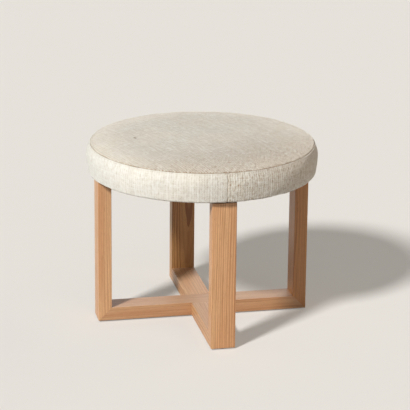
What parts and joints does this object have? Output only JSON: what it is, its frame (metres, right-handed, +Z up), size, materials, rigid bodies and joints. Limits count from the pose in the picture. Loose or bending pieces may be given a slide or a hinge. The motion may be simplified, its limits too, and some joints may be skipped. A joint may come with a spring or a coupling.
{
  "type": "x frame stool",
  "caption": "Low round upholstered stool on a crossed wooden frame: mitred posts and floor rails halved at the crossing, padded seat with side band and crowned top.",
  "frame": {"origin": "on the floor under the middle of the crossed frame, the bottom centre of the bounding box", "axes": "+Z up, +X towards the right-hand post, -Y towards the post that stands in front in the picture"},
  "size_m": [0.5158, 0.5158, 0.4202],
  "materials": {
    "frame_wood": "clear satin oil on straight-grained honey-coloured hardwood",
    "joint_wood": "unfinished beech",
    "plywood": "unfinished plywood with visible plies at the edge",
    "seat_cloth": "thick plain-woven slub linen, matt",
    "foam": "open-cell upholstery foam",
    "wadding": "bonded polyester wadding",
    "lining_cloth": "thin black non-woven lining",
    "fixing_steel": "zinc plated",
    "glide_nylon": "dark brown nylon"
  },
  "bodies": {
    "root": {"floor_rail_side_to_side": "frame_wood", "floor_rail_front_to_back": "frame_wood", "bearer_side_to_side": "frame_wood", "bearer_front_to_back": "frame_wood", "post_right": "frame_wood", "mitre_tenon_right_1": "joint_wood", "bearer_dowel_right_1": "joint_wood", "mitre_tenon_right_2": "joint_wood", "bearer_dowel_right_2": "joint_wood", "glide_right": "glide_nylon", "glide_nail_right": "fixing_steel", "seat_screw_right": "fixing_steel", "post_back": "frame_wood", "mitre_tenon_back_1": "joint_wood", "bearer_dowel_back_1": "joint_wood", "mitre_tenon_back_2": "joint_wood", "bearer_dowel_back_2": "joint_wood", "glide_back": "glide_nylon", "glide_nail_back": "fixing_steel", "seat_screw_back": "fixing_steel", "post_left": "frame_wood", "mitre_tenon_left_1": "joint_wood", "bearer_dowel_left_1": "joint_wood", "mitre_tenon_left_2": "joint_wood", "bearer_dowel_left_2": "joint_wood", "glide_left": "glide_nylon", "glide_nail_left": "fixing_steel", "seat_screw_left": "fixing_steel", "post_front": "frame_wood", "mitre_tenon_front_1": "joint_wood", "bearer_dowel_front_1": "joint_wood", "mitre_tenon_front_2": "joint_wood", "bearer_dowel_front_2": "joint_wood", "glide_front": "glide_nylon", "glide_nail_front": "fixing_steel", "seat_screw_front": "fixing_steel", "seat_board": "plywood", "foam_core": "foam", "top_wadding": "wadding", "cover_side_band": "seat_cloth", "cover_top_panel": "seat_cloth", "dust_cover": "lining_cloth"}
  },
  "joints": []
}
